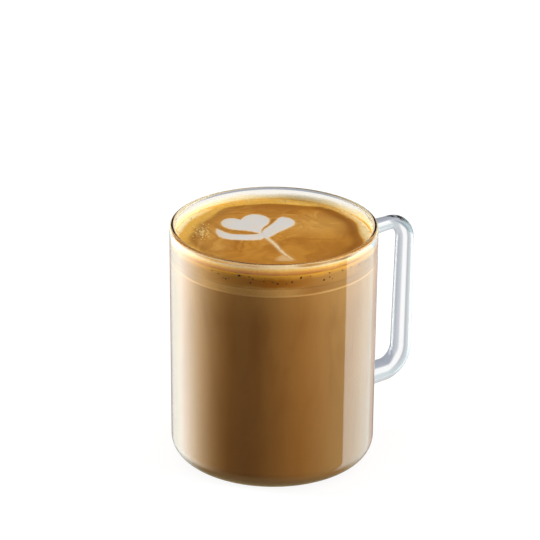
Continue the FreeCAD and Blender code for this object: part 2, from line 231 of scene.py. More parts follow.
def rounded_profile(corners, radii, spacing, arc_steps):
    """Points along a line through the corners, each corner rounded by its own arc: the arc
    touches both sides at radius * tan(turn / 2) from the corner."""
    corners = np.asarray(corners, float)
    pieces = [corners[:1]]
    share = np.linspace(0, 1, arc_steps)[:, None]
    for before, corner, after, radius in zip(corners, corners[1:], corners[2:], radii):
        back, on = unit(before - corner), unit(after - corner)
        half = math.acos(np.clip(back @ on, -1, 1)) / 2
        centre = corner + unit(back + on) * radius / math.sin(half)
        first, last = (corner + side * radius / math.tan(half) - centre for side in (back, on))
        sweep = math.pi - 2 * half
        arc = np.sin((1 - share) * sweep) * first + np.sin(share * sweep) * last
        pieces.append(centre + arc / math.sin(sweep))
    pieces.append(corners[-1:])
    line = pieces[:1]
    for before, piece in zip(pieces, pieces[1:]):
        run = piece[0] - before[-1]
        count = max(1, round(np.linalg.norm(run) / spacing))
        line += [before[-1] + run * np.linspace(0, 1, count + 1)[1:-1, None], piece]
    return np.concatenate(line)


def full_turn(count):
    """Bearings at even steps round a circle."""
    return np.arange(count) * 2 * math.pi / count


def turned(radius, height, bearing):
    """Points at a radius, a height and a bearing a: x = r cos a, y = r sin a."""
    radius, height, bearing = np.broadcast_arrays(radius, height, bearing)
    return np.stack([radius * np.cos(bearing), radius * np.sin(bearing), height], axis=-1)


def lathe(profile, segments):
    """Grid of a profile of radii and heights, turned about Z."""
    return turned(profile[:, :1], profile[:, 1:], full_turn(segments))


def grid_faces(rows, columns, closed_columns):
    """Quads of a grid: each joins (row, column) to the next row and the next column."""
    last = columns if closed_columns else columns - 1
    row, column = np.meshgrid(np.arange(rows - 1), np.arange(last), indexing="ij")
    after = (column + 1) % columns
    return np.stack([row * columns + column, row * columns + after,
                     (row + 1) * columns + after, (row + 1) * columns + column],
                    axis=-1).reshape(-1, 4)


def edit_mesh(mesh, operation, part, **settings):
    """Runs one operation on all of a mesh's vertices or faces."""
    work = bmesh.new()
    work.from_mesh(mesh)
    operation(work, **{part: getattr(work, part)}, **settings)
    work.to_mesh(mesh)
    work.free()


def link_mesh(name, vertices, faces, values=None):
    """A smooth mesh object of these vertices and faces, with a float value per vertex for
    each name in values. Vertices that meet at a pole are made one."""
    mesh = bpy.data.meshes.new(name)
    mesh.from_pydata(vertices.reshape(-1, 3), [], faces)
    for attribute, value in (values or {}).items():
        layer = mesh.attributes.new(attribute, "FLOAT", "POINT")
        layer.data.foreach_set("value", np.asarray(value, np.float32).ravel())
    edit_mesh(mesh, bmesh.ops.remove_doubles, "verts", dist=1e-7)
    mesh.shade_smooth()
    mesh.update()
    piece = bpy.data.objects.new(name, mesh)
    bpy.context.scene.collection.objects.link(piece)
    return piece


def link_ring(name, grid, values=None, turned_over=False):
    """A mesh object of a grid whose last column meets its first."""
    faces = grid_faces(*grid.shape[:2], True)
    return link_mesh(name, grid, faces[:, ::-1] if turned_over else faces, values)


def bake_modifiers(piece):
    """Replaces a piece's mesh by what its modifiers make of it."""
    graph = bpy.context.evaluated_depsgraph_get()
    mesh = bpy.data.meshes.new_from_object(piece.evaluated_get(graph))
    piece.modifiers.clear()
    old, piece.data = piece.data, mesh
    mesh.name = piece.name
    bpy.data.meshes.remove(old)


def thicken(piece, thickness, offset):
    """Makes a surface a closed shell: below it at offset -1, on both sides of it at 0."""
    shell = piece.modifiers.new("depth", "SOLIDIFY")
    shell.thickness, shell.offset = thickness, offset
    bake_modifiers(piece)


def set_up(piece, material, slot, *nodes):
    """Material, body and replaced nodes of a finished piece. The slot is not used."""
    piece.data.materials.clear()
    piece.data.materials.append(material)
    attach(piece, BODY)
    if nodes:
        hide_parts(*nodes)


def spots(name, centres, normals, radii, flatness):
    """Many small domes as one mesh: a dome's points are radius * (sin v cos u, sin v sin u,
    flatness * cos v) about its centre, turned to stand on its normal, and closed below."""
    rings, segments = 4, 10
    tilt = np.append(np.linspace(0, math.pi / 2, rings + 1), math.pi)[:, None]
    dome = turned(np.sin(tilt), flatness * np.cos(tilt), full_turn(segments)).reshape(-1, 3)
    helper = np.where(np.abs(normals[:, 2:]) > 0.9, [1.0, 0, 0], [0, 0, 1.0])
    across = unit(np.cross(helper, normals))
    axes = np.stack([across, np.cross(normals, across), normals], axis=1)
    points = centres[:, None] + radii[:, None, None] * np.einsum("vk,nkj->nvj", dome, axes)
    one = grid_faces(len(tilt), segments, True)[:, ::-1]
    faces = one + (np.arange(len(centres)) * len(dome))[:, None, None]
    return link_mesh(name, points, faces.reshape(-1, 4))


# ---------------------------------------------------------------- materials

def grey(level):
    """Colour with the same level of red, green and blue."""
    return (level, level, level)


class Finish:
    """A material or another node tree, put together node by node."""

    def __init__(self, name, tree=None):
        self.material = None
        if tree is None:
            self.material = bpy.data.materials.new(name)
            self.material.use_nodes = True
            tree = self.material.node_tree
        self.tree = tree
        tree.nodes.clear()

    def add(self, kind, values=None, output=0, **settings):
        """Adds a node and gives back one of its outputs, or all of them where output is
        None. A value is a number, a colour or another node's output."""
        node = self.tree.nodes.new("ShaderNode" + kind)
        for key, value in settings.items():
            setattr(node, key, value)
        for key, value in (values or {}).items():
            socket = node.inputs[key]
            if isinstance(value, bpy.types.NodeSocket):
                self.tree.links.new(value, socket)
            elif hasattr(value, "__len__") and len(value) == 3 and socket.type == "RGBA":
                socket.default_value = (*value, 1.0)
            else:
                socket.default_value = value
        return node.outputs if output is None else node.outputs[output]

    def where(self):
        """Place on the piece."""
        return self.add("TexCoord", output="Object")

    def height(self, where):
        """Height above the foot."""
        return self.add("SeparateXYZ", {0: where}, "Z")

    def value(self, name):
        """One of the values that the mesh holds at its vertices."""
        return self.add("Attribute", output="Fac", attribute_name=name)

    def maths(self, operation, *values):
        return self.add("Math", dict(enumerate(values)), operation=operation)

    def times(self, first, second):
        return self.maths("MULTIPLY", first, second)

    def vectors(self, operation, *values, output="Vector"):
        return self.add("VectorMath", dict(enumerate(values)), output, operation=operation)

    def ramp(self, value, low, high, to_low=0.0, to_high=1.0):
        """Value carried smoothly from low..high to to_low..to_high, without leaving it."""
        return self.add("MapRange", {"Value": value, "From Min": low, "From Max": high,
                                     "To Min": to_low, "To Max": to_high},
                        interpolation_type="SMOOTHSTEP")

    def noise(self, where, scale, detail=3.0, roughness=0.5, distortion=0.0, output="Fac"):
        return self.add("TexNoise", {"Vector": where, "Scale": scale, "Detail": detail,
                                     "Roughness": roughness, "Distortion": distortion}, output)

    def wander(self, where, scale, detail, roughness, span):
        """Noise carried from 0..1 to -span/2..span/2."""
        noise = self.noise(where, scale, detail, roughness)
        return self.maths("MULTIPLY_ADD", noise, span, -span / 2)

    def cells(self, where, scale):
        """Distance to the nearest of many scattered points."""
        return self.add("TexVoronoi", {"Vector": where, "Scale": scale}, "Distance")

    def mix(self, share, first, second, blend="MIX"):
        """Colour that goes from the first to the second as the share goes from 0 to 1."""
        return self.add("Mix", {0: share, 6: first, 7: second}, 2, data_type="RGBA",
                        blend_type=blend)

    def brighter(self, colour, factor):
        """The colour, so many times as bright."""
        return self.mix(1.0, colour, grey(factor), "MULTIPLY")

    def mix_shaders(self, share, first, second):
        return self.add("MixShader", {0: share, 1: first, 2: second})

    def bump(self, height, distance, strength):
        return self.add("Bump", {"Height": height, "Distance": distance, "Strength": strength})

    def finish(self, surface):
        """Ends the material with this shader."""
        self.add("OutputMaterial", {"Surface": surface}, None)
        return self.material

    def skin(self, colour, roughness, specular, **more):
        """Ends the material as a surface that lets nothing through."""
        return self.finish(self.add("BsdfPrincipled", {
            "Base Color": colour, "Roughness": roughness, "Specular IOR Level": specular, **more}))


def glass_material():
    """Clear glass that lets lamps through to the drink, with the faintest waves in it."""
    finish = Finish("clear_glass")
    waves = finish.noise(finish.where(), 45.0, 1.0)
    glass = finish.add("BsdfPrincipled", {
        "Base Color": grey(1.0), "Roughness": 0.0, "IOR": 1.5,
        "Transmission Weight": 1.0, "Normal": finish.bump(waves, 0.02 * MM, 0.5)})
    clear = finish.add("BsdfTransparent", {"Color": (0.97, 0.98, 0.98)})
    lamp = finish.add("LightPath", output="Is Shadow Ray")
    return finish.finish(finish.mix_shaders(lamp, glass, clear))


def coffee_material(drink):
    """Milk coffee with faint upright clouds: darker towards the foot, partly settled coffee and
    partly painted shade of the light that falls off lower down, and foamy at its top.
    """
    finish = Finish("milk_coffee")
    where = finish.where()
    height = finish.height(where)
    tall = finish.add("Mapping", {"Vector": where, "Scale": (1.0, 1.0, 0.25)})
    clouds = finish.ramp(finish.noise(tall, 90.0, 4.0, 0.55, 0.6), 0.35, 0.7)
    base = finish.mix(clouds, drink.coffee, drink.coffee_clouds_and_shade)
    # Darker towards the foot: partly settled coffee, partly painted shade of the light that falls
    # off lower down.
    low = finish.ramp(height, 70 * MM, 10 * MM, 0.0, 0.8)
    base = finish.mix(low, base, drink.coffee_clouds_and_shade)
    high = finish.ramp(height, COFFEE_HIGH.z - 13.5 * MM, COFFEE_HIGH.z, 0.0, 0.25)
    base = finish.mix(high, base, drink.foam)
    soft = finish.noise(where, 900.0, 2.0)
    return finish.skin(base, 0.5, 0.2, Normal=finish.bump(soft, 0.05 * MM, 0.3))


def foam_material(drink):
    """Fine milk foam: pale at its lower edge, speckled with small bubbles. The values
    foam_pale and far say where it thins out to coffee and where it is whiter."""
    finish = Finish("milk_foam")
    where = finish.where()
    above = finish.maths("ADD", finish.height(where),
                         finish.wander(where, 120.0, 2.0, 0.5, 0.6 * MM))
    speck = finish.cells(where, 1500.0)
    base = finish.mix(finish.ramp(speck, 0.25, 0.6, 0.75, 1.0), drink.foam_line, drink.foam)
    base = finish.mix(finish.value("foam_pale"), drink.coffee, base)
    base = finish.mix(finish.value("far"), base, drink.far_foam)
    edge = finish.ramp(above, COFFEE_HIGH.z + 1.0 * MM, COFFEE_HIGH.z + 0.2 * MM, 0.0, 0.8)
    base = finish.mix(edge, base, drink.foam_line)
    return finish.skin(base, 0.55, 0.2, Normal=finish.bump(speck, 0.1 * MM, 0.4))


def crema_colour_group(drink):
    """Colour and relief shared by the crema and by the milk that lies on it, so that edges
    melt into it. Streams of paler and darker crema are noise stretched round the mug and
    bent by another noise. The values gold, froth, dark, pale and halo say where each tone
    gathers, and calm where the streams fade."""
    tree = bpy.data.node_groups.new("crema_colour", "ShaderNodeTree")
    tree.interface.new_socket("Color", in_out="OUTPUT", socket_type="NodeSocketColor")
    tree.interface.new_socket("Height", in_out="OUTPUT", socket_type="NodeSocketFloat")
    finish = Finish("", tree)
    where = finish.where()

    drift = finish.noise(where, 48.0, 2.0, output="Color")
    pull = finish.vectors("SUBTRACT", drift, grey(0.5))
    bent = finish.vectors("MULTIPLY_ADD", pull, (34 * MM, 34 * MM, 0.0), where)
    flat = finish.vectors("MULTIPLY", bent, (1.0, 1.0, 0.0))
    out = finish.add("CombineXYZ", {"Z": finish.vectors("LENGTH", flat, output="Value")})
    bearing = finish.vectors("NORMALIZE", flat)
    along = finish.vectors("MULTIPLY_ADD", bearing, (7 * MM, 7 * MM, 0.0), out)
    broad = finish.noise(bent, 75.0, 3.0, 0.55)
    stream = finish.noise(along, 300.0, 5.0, 0.6, 0.4)
    thread = finish.noise(along, 900.0, 3.0, 0.6, 0.3)
    grain = finish.noise(where, 2600.0, 2.0)
    ragged = finish.wander(where, 520.0, 3.0, 0.6, 0.9)

    def frayed(share, low):
        """The share with a ragged edge, stretched from low..1 to 0..1."""
        return finish.ramp(finish.maths("MULTIPLY_ADD", share, ragged, share), low, 1.0)

    pale = finish.value("pale")
    lively = finish.ramp(finish.value("calm"), 1.0, 0.0, 0.2, 1.0)
    shade = finish.times(finish.ramp(stream, 0.50, 0.36, 0.0, 0.6), lively)
    light = finish.times(finish.ramp(stream, 0.50, 0.68), finish.ramp(pale, 0.0, 1.0, 0.4, 0.8))
    fine = finish.times(finish.ramp(thread, 0.58, 0.72, 0.0, 0.6), lively)
    dark = finish.times(finish.value("dark"), finish.ramp(stream, 0.3, 0.7, 1.0, 0.7))
    gold = frayed(finish.times(finish.value("gold"), finish.ramp(stream, 0.3, 0.6, 0.75, 1.0)),
                  0.0)
    foamy = finish.times(finish.ramp(finish.cells(where, 1100.0), 0.30, 0.12),
                         finish.ramp(gold, 0.15, 0.8, 0.0, 0.8))
    halo = finish.times(finish.value("halo"), finish.ramp(stream, 0.3, 0.6, 0.6, 1.0))

    base = drink.crema
    for share, tone in (
            (finish.ramp(broad, 0.40, 0.64, 0.0, 0.55), drink.crema_deep),
            (shade, drink.crema_deep),
            (finish.times(light, lively), drink.crema_pale),
            (finish.times(pale, 0.45), drink.crema_pale),
            (fine, drink.crema_pale),
            (dark, drink.crema_deep),
            (gold, drink.crema_gold),
            (frayed(finish.value("froth"), 0.05), drink.froth),
            (foamy, drink.cream),
            (halo, drink.cream),
            (finish.ramp(grain, 0.35, 0.7, 0.0, 0.12), drink.crema_deep)):
        base = finish.mix(share, base, tone)
    relief = finish.maths("ADD", finish.times(grain, 0.2), finish.maths("ADD", thread, foamy))
    end = tree.nodes.new("NodeGroupOutput")
    tree.links.new(base, end.inputs["Color"])
    tree.links.new(relief, end.inputs["Height"])
    return tree


def crema_material(group):
    """The surface of the crema."""
    finish = Finish("crema")
    shared = finish.add("Group", output=None, node_tree=group)
    relief = finish.bump(shared["Height"], 0.12 * MM, 0.35)
    return finish.skin(shared["Color"], 0.42, 0.06, Normal=relief)


def crema_side_material(drink):
    """The crema against the glass: golden at the top, then brown, then foam."""
    finish = Finish("crema_side")
    where = finish.where()
    height = finish.maths("ADD", finish.height(where),
                          finish.wander(where, 160.0, 3.0, 0.5, 2.4 * MM))
    lower = finish.mix(finish.value("crema_pale"), drink.coffee, drink.band_pale)
    # Darker at the front of the band: deeper crema there, and painted shade of the front.
    lower = finish.mix(finish.value("thick_and_shaded"), lower, drink.band_deep_and_shaded)
    foam = finish.mix(finish.value("foam_pale"), drink.coffee, drink.foam)
    gold_ends = finish.ramp(height, DRINK_LEVEL + 0.4 * MM, DRINK_LEVEL - 1.8 * MM)
    foam_starts = finish.ramp(height, FOAM_HIGH.z + 1.8 * MM, FOAM_HIGH.z)
    band = finish.mix(gold_ends, drink.band_gold, lower)
    band = finish.mix(foam_starts, band, foam)
    band = finish.mix(finish.value("far"), band, drink.far_foam)
    soft = finish.noise(where, 900.0, 2.0)
    return finish.skin(band, 0.5, 0.06, Normal=finish.bump(soft, 0.05 * MM, 0.3))


def milk_material(drink, group):
    """Poured milk that turns to cream and then to crema at its edges."""
    finish = Finish("poured_milk")
    where = finish.where()
    crema = finish.add("Group", output="Color", node_tree=group)
    share = finish.maths("ADD", finish.value("milk"), finish.wander(where, 800.0, 4.0, 0.65, 1.1))
    soft = finish.noise(where, 240.0, 3.0)
    clouds = finish.times(finish.ramp(share, 0.6, 1.0), finish.ramp(soft, 0.4, 0.75, 0.0, 0.25))
    base = finish.mix(finish.ramp(share, 0.12, 0.55), crema, drink.cream)
    base = finish.mix(finish.ramp(share, 0.40, 0.90), base, drink.milk)
    base = finish.mix(clouds, base, drink.cream)
    return finish.skin(base, 0.45, 0.15, Normal=finish.bump(soft, 0.2 * MM, 0.3))


def bubble_material(name, base):
    """A shiny bubble, darker here and there."""
    finish = Finish(name)
    tone = finish.ramp(finish.noise(finish.where(), 1800.0, 1.0), 0.3, 0.7)
    return finish.skin(finish.mix(tone, base, 0.6 * base), 0.12, 0.5)


def film_material(drink):
    """A breath of crema left on the glass: golden at the drink, cream above it. Its own
    body shows by cover; the rest only tints what is behind it."""
    finish = Finish("foam_film")
    patchy = finish.ramp(finish.noise(finish.where(), 260.0, 2.0, 0.5, 0.8), 0.3, 0.62, 0.8, 1.0)
    rise = finish.value("rise")
    tone = drink.band_pale
    for low, high, above in ((0.05, 0.35, drink.film_gold), (0.25, 0.6, drink.film_light),
                             (0.5, 0.85, drink.film_pale)):
        tone = finish.mix(finish.ramp(rise, low, high), tone, above)
    lit = finish.add("BsdfDiffuse", {"Color": tone})
    through = finish.add("BsdfTranslucent", {"Color": tone})
    tint = finish.mix(finish.ramp(rise, 0.15, 1.0), (0.93, 0.80, 0.50), (0.99, 0.98, 0.95))
    veil = finish.add("BsdfTransparent", {"Color": tint})
    return finish.finish(finish.mix_shaders(finish.times(finish.value("cover"), patchy), veil,
                                            finish.mix_shaders(0.75, lit, through)))


# ---------------------------------------------------------------- glass

def outer_radius(sizes, height):
    """Outer radius of the mug at a height: a straight line from foot to rim."""
    return sizes.foot_radius + (RIM_RADIUS - sizes.foot_radius) * height / MUG_HEIGHT


def inner_radius(sizes, height):
    """Inner radius of the mug at a height: one wall less than the outer one."""
    return outer_radius(sizes, height) - sizes.wall


def mug_profile(sizes):
    """Half section of the mug from the middle of the foot, up the outside, over the lip
    and down the inside to the middle of the floor."""
    corners = [(0, 0), (sizes.foot_radius, 0), (RIM_RADIUS, MUG_HEIGHT),
               (RIM_RADIUS - sizes.wall, MUG_HEIGHT),
               (inner_radius(sizes, BASE_THICKNESS), BASE_THICKNESS), (0, BASE_THICKNESS)]
    radii = (sizes.foot_corner, sizes.lip, sizes.lip, sizes.foot_corner - sizes.wall)
    return rounded_profile(corners, radii, spacing=1.1 * MM, arc_steps=14)


def handle_line(sizes, count):
    """Middle line of the rod in the XZ plane at even steps, and the rod's radius at each:
    out along the upper arm, a quarter turn, down the bar, a quarter turn and back along
    the lower arm. Both ends lie sunk in the wall."""
    top, foot = sizes.arm_top, sizes.arm_foot
    start, end = (outer_radius(sizes, height) - 0.45 * sizes.wall for height in (top, foot))
    corners = [(start, top), (sizes.bar_top, top), (sizes.bar_foot, foot), (end, foot)]
    line = rounded_profile(corners, (sizes.upper_bend, sizes.lower_bend), 0.5 * MM, 40)
    along = np.append(0, np.cumsum(np.linalg.norm(np.diff(line, axis=0), axis=1)))
    step = np.linspace(0, along[-1], count)
    points = np.stack([np.interp(step, along, side) for side in line.T], -1)
    arm = sizes.bar_top - sizes.upper_bend - start
    bar_starts = arm + math.pi / 2 * sizes.upper_bend
    bar = top - foot - sizes.upper_bend - sizes.lower_bend
    bar_ends = bar_starts + bar
    stations = [0, arm / 2, arm, bar_starts, bar_starts + bar / 2, bar_ends,
                bar_ends + math.pi / 2 * sizes.lower_bend, along[-1]]
    return points, gentle_curve(stations, list(sizes.rod_sizes), step) / 2


def handle_points(sizes):
    """Grid of the rod: circles across its middle line, each point then pushed out from the
    line where the wall is near, by flare * (1 - distance / reach)^2.6, as melted glass
    spreads. The ends close inside the wall."""
    points, radii = handle_line(sizes, ROD_STEPS)
    tangent = unit(np.gradient(points, axis=0))
    turn = full_turn(ROD_SEGMENTS)
    ring = np.stack([-tangent[:, 1:] * np.cos(turn), np.sin(turn) + 0 * tangent[:, :1],
                     tangent[:, :1] * np.cos(turn)], -1)
    centre = np.stack([points[:, 0], 0 * points[:, 0], points[:, 1]], -1)[:, None]
    rod = centre + radii[:, None, None] * ring
    gap = np.hypot(rod[..., 0], rod[..., 1]) - outer_radius(sizes, rod[..., 2])
    reach = 1.6 * sizes.joint_flare
    flare = sizes.joint_flare * np.clip(1 - np.maximum(gap, 0) / reach, 0, 1) ** 2.6
    rod = centre + (radii[:, None] + flare)[..., None] * ring
    return np.concatenate([centre[:1] + 0 * rod[:1], rod, centre[-1:] + 0 * rod[:1]])


class MUG_OT_add_glass(bpy.types.Operator):
    """Add the glass mug with the rod handle melted onto its wall"""
    bl_idname = "milk_coffee.add_glass"
    bl_label = "Glass mug"

    def execute(self, context):
        sizes = context.scene.mug_sizes
        mug = link_ring("mug_glass", lathe(mug_profile(sizes), MUG_SEGMENTS))
        handle = link_ring("handle_rod", handle_points(sizes))
        for piece in (mug, handle):
            edit_mesh(piece.data, bmesh.ops.recalc_face_normals, "faces")
        melt = mug.modifiers.new("melted_joints", "BOOLEAN")
        melt.operation, melt.solver, melt.object = "UNION", "EXACT", handle
        bake_modifiers(mug)
        bpy.data.objects.remove(handle)
        mug.data.shade_smooth()
        set_up(mug, glass_material(), "clear_glass", "glass_mug")
        return {"FINISHED"}


# ---------------------------------------------------------------- drink

def layer(sizes, drink, low, high, corner=EDGE, arc_steps=3):
    """Grid of a layer of the drink that reaches a little into the glass: its half section
    goes from the middle of its floor out, up the wall and back to the middle of its top."""
    low_radius, high_radius = (inner_radius(sizes, height) + drink.reach for height in (low, high))
    corners = [(0, low), (low_radius, low), (high_radius, high), (0, high)]
    return lathe(rounded_profile(corners, (corner, EDGE), 1.0 * MM, arc_steps), DRINK_SEGMENTS)


class MUG_OT_add_coffee(bpy.types.Operator):
    """Add the milk coffee under the foam"""
    bl_idname = "milk_coffee.add_coffee"
    bl_label = "Milk coffee"

    def execute(self, context):
        sizes, drink = context.scene.mug_sizes, context.scene.drink
        corner = sizes.foot_corner - sizes.wall + drink.reach
        grid = layer(sizes, drink, COFFEE_LOW.z - drink.reach, COFFEE_HIGH.z, corner, 16)
        piece = link_ring("milk_coffee_body", grid)
        set_up(piece, coffee_material(drink), "milk_coffee", "milk_coffee")
        return {"FINISHED"}


class MUG_OT_add_foam(bpy.types.Operator):
    """Add the band of milk foam that shows through the glass"""
    bl_idname = "milk_coffee.add_foam"
    bl_label = "Milk foam"

    def execute(self, context):
        sizes, drink = context.scene.mug_sizes, context.scene.drink
        grid = layer(sizes, drink, FOAM_LOW.z, FOAM_HIGH.z)
        piece = link_ring("milk_foam_band", grid, band_tones(drink, grid[..., 0], grid[..., 1]))
        set_up(piece, foam_material(drink), "milk_foam", "milk_foam")
        return {"FINISHED"}


def on_axis(root, direction, along, aside):
    """Points so far along a direction from a root, and so far to its left."""
    cos, sin = math.cos(direction), math.sin(direction)
    along, aside = np.asarray(along, float), np.asarray(aside, float)
    return np.stack([root[0] + along * cos - aside * sin,
                     root[1] + along * sin + aside * cos], -1)


def through(points, steps=8):
    """Smooth line through the points: cubics whose slope at a point is half the step from
    the point before it to the point after it."""
    points = np.asarray(points, float)
    slope = np.gradient(points, axis=0)
    t = np.linspace(0, 1, steps, endpoint=False)[:, None, None]
    line = cubic(t, points[:-1], points[1:], slope[:-1], slope[1:])
    return np.concatenate([line.transpose(1, 0, 2).reshape(-1, 2), points[-1:]])


def closed(one, other):
    """Outline out along one line and back along the other, which share both ends."""
    return np.concatenate([one, other[-2:0:-1]])


def tulip_outlines(tulip):
    """Closed outlines of the heart, the two leaves and the stem, as arrays of points. The
    pairs are shares of a shape's length and of its width or bow."""
    join = np.array([tulip.join_x, tulip.join_y])
    tip = on_axis(join, tulip.heart_angle, tulip.heart_gap, 0)
    lobe = np.array([(0, 0), (0.10, 0.10), (0.28, 0.38), (0.42, 0.76), (0.62, 1.0),
                     (0.84, 0.95), (0.98, 0.62), (0.95, 0.28)])
    cleft = [(0.82, 0.08)]
    lobes = []
    for side in (1, -1):
        shares = np.concatenate([lobe * (1, side), cleft])
        lobes.append(through(on_axis(tip, tulip.heart_angle, shares[:, 0] * tulip.heart_length,
                                     shares[:, 1] * tulip.heart_half_width)))
    leaves = []
    for direction, size, bow, *edges in (
            (tulip.left_leaf_angle, tulip.left_leaf_length, tulip.left_leaf_bow,
             [(0.05, 0.42), (0.30, 0.78), (0.58, 1.0), (0.78, 0.90), (0.92, 0.50)],
             [(0.12, -0.50), (0.22, -0.12), (0.42, 0.17), (0.65, 0.34), (0.85, 0.20)]),
            (tulip.right_leaf_angle, tulip.right_leaf_length, tulip.right_leaf_bow,
             [(0.02, -0.22), (0.24, -0.45), (0.48, -0.76), (0.70, -1.0), (0.86, -0.88),
              (0.97, -0.50)],
             [(0.06, 0.25), (0.28, 0.43), (0.50, 0.32), (0.70, 0.20), (0.90, 0.16)])):
        sides = []
        for edge in edges:
            shares = np.array([(0, 0), *edge, (1, 0)])
            sides.append(through(on_axis(join, direction, shares[:, 0] * size,
                                         shares[:, 1] * bow)))
        leaves.append(closed(*sides))
    root = on_axis(join, tulip.stem_angle, -tulip.stem_overlap, 0)
    share = np.linspace(0, 1, 32)
    along = share * (tulip.stem_length + tulip.stem_overlap)
    half = (tulip.stem_width + (tulip.stem_end_width - tulip.stem_width) * share) / 2
    sway = tulip.stem_sway * np.sin(2 * math.pi * share)
    stem = np.concatenate([on_axis(root, tulip.stem_angle, along, sway + half),
                           on_axis(root, tulip.stem_angle, along, sway - half)[::-1]])
    return closed(*lobes), *leaves, stem


def distance_to(outline, x, y):
    """Distance from points to a closed outline, less than 0 inside it: the nearest of the
    distances to its sides, with the sign from how often a line to the left crosses it."""
    start, side = outline, np.roll(outline, -1, axis=0) - outline
    dx, dy = x[..., None] - start[:, 0], y[..., None] - start[:, 1]
    share = np.clip((dx * side[:, 0] + dy * side[:, 1]) / (side**2).sum(-1), 0, 1)
    near = np.hypot(dx - share * side[:, 0], dy - share * side[:, 1]).min(-1)
    spans = (dy < 0) != (dy < side[:, 1])
    run = np.where(side[:, 1] == 0, 1e-12, side[:, 1])
    left = dx > dy / run * side[:, 0]
    inside = (spans & left).sum(-1) % 2 == 1
    return np.where(inside, -near, near)


def in_pour(drink, x, y):
    """Surface places as the pour faces: so far right of it and so far away along it."""
    turn = drink.pour_turn
    return x * math.cos(turn) + y * math.sin(turn), -x * math.sin(turn) + y * math.cos(turn)


def surface_height(sizes, drink, x, y):
    """Height of the drink's surface: level, with low swells left by the pour, and a rise
    at the wall that goes up as 1 - sqrt(1 - 0.96 t^2)."""
    from_wall = np.hypot(x, y) - inner_radius(sizes, DRINK_LEVEL)
    near = np.clip(from_wall / drink.meniscus + 1, 0, 1)
    steep = 0.96
    rise = (1 - np.sqrt(1 - steep * near**2)) / (1 - math.sqrt(1 - steep))
    swell = (np.sin(x * 190 + 2.2 * np.sin(y * 150)) * np.cos(y * 170 + 1.3 * np.sin(x * 120)))
    return DRINK_LEVEL + MENISCUS_HEIGHT * rise + 0.07 * MM * swell * (1 - near)


def surface_tones(tulip, sizes, drink, x, y):
    """Where each tone of the crema gathers, from 0 to 1. Lengths here are in millimetres,
    and bearings are from the right of the pour."""
    right, away = (side / MM for side in in_pour(drink, x, y))
    heart, left_leaf, right_leaf, stem = (distance_to(outline, x, y) / MM
                                          for outline in tulip_outlines(tulip))
    off = np.min([heart, left_leaf, right_leaf, stem], axis=0)

    def streak(offset, width, starts, ends):
        """A line that crosses the surface to the right, faded at both ends."""
        return bell(offset, width) * smoothstep(*starts, right) * smoothstep(*ends, right)

    bearing = np.arctan2(away, right)
    uneven = 0.8 * np.sin(5 * bearing + 1) + 0.5 * np.sin(11 * bearing)
    depth = (inner_radius(sizes, DRINK_LEVEL) - np.hypot(x, y)) / MM - uneven
    left_back = 0.5 - 0.5 * np.cos(bearing - math.radians(-55))
    to_right = smoothstep(0.3, 0.85, np.cos(bearing - math.radians(28)))
    to_back = smoothstep(0.3, 0.9, np.sin(bearing))
    to_left = smoothstep(0.5, 0.95, -np.cos(bearing))
    gold = smoothstep(6.2 - 1.8 * to_right - 1.4 * to_back + 2.5 * to_left,
                      4.0 - 1.2 * to_right - 0.9 * to_back, depth) * (0.6 + 0.4 * left_back)
    froth = smoothstep(3.0 + 1.6 * to_right - 1.2 * to_back, 0.4, depth) * (1 - 0.75 * to_back)
    ring = bell(depth - 8.0 + 2.3 * to_right + 1.2 * to_back, 2.4)

    leaves = np.minimum(left_leaf, right_leaf)
    gap = smoothstep(3.0, 0.8, heart) * smoothstep(3.0, 0.8, leaves) * smoothstep(0, 0.8, off)
    dark_streak = streak(away + 1.2 + 0.03 * right, 0.4, (10, 14), (24, 20))
    dark = np.max([ring * (0.4 + 0.6 * to_right), gap, 0.7 * dark_streak], axis=0)

    patch = smoothstep(16, 4, np.hypot((right - 18) / 1.25, away - 13))
    pale_streak = streak(away - 1.6 - 0.06 * right, 0.45, (4, 9), (26, 18))
    pale = np.max([patch, 0.8 * smoothstep(-12, -28, right), 0.8 * pale_streak], axis=0)

    wedge = 4.2 * smoothstep(-14, -22, away)
    spill = (smoothstep(wedge + 0.5, 0.4 * wedge, np.abs(right - 4.4))
             * smoothstep(-24, -22.5, away) * smoothstep(-15, -17, away))
    halo = np.maximum(0.4 * bell(np.maximum(off, 0), 0.6), 0.5 * spill)
    calm = smoothstep(-2, 10, 0.6 * right - 0.8 * away)
    return {"gold": gold, "froth": froth, "dark": dark, "pale": pale, "halo": halo, "calm": calm}


def band_tones(drink, x, y):
    """How dark and how pale the crema and the foam lie against the glass, by bearing in degrees
    from the front of the pour: bells and steps, from 0 to 1. The darkest bell, at the front, is
    crema lying deepest there and painted shade of the front."""
    right, away = in_pour(drink, x, y)
    bearing = np.degrees(np.arctan2(right, -away))
    crema = smoothstep(-58, -42, bearing) * smoothstep(60, 48, bearing)
    # The first bell darkens the front of the band: deeper crema there, and painted shade of the
    # front.
    return {"thick_and_shaded": bell(bearing - 1, 20),
            "crema_pale": crema * (1 - 0.5 * smoothstep(5, 20, bearing)),
            "foam_pale": smoothstep(-54, -38, bearing) * smoothstep(24, 6, bearing),
            "far": smoothstep(78, 98, np.abs(bearing))}


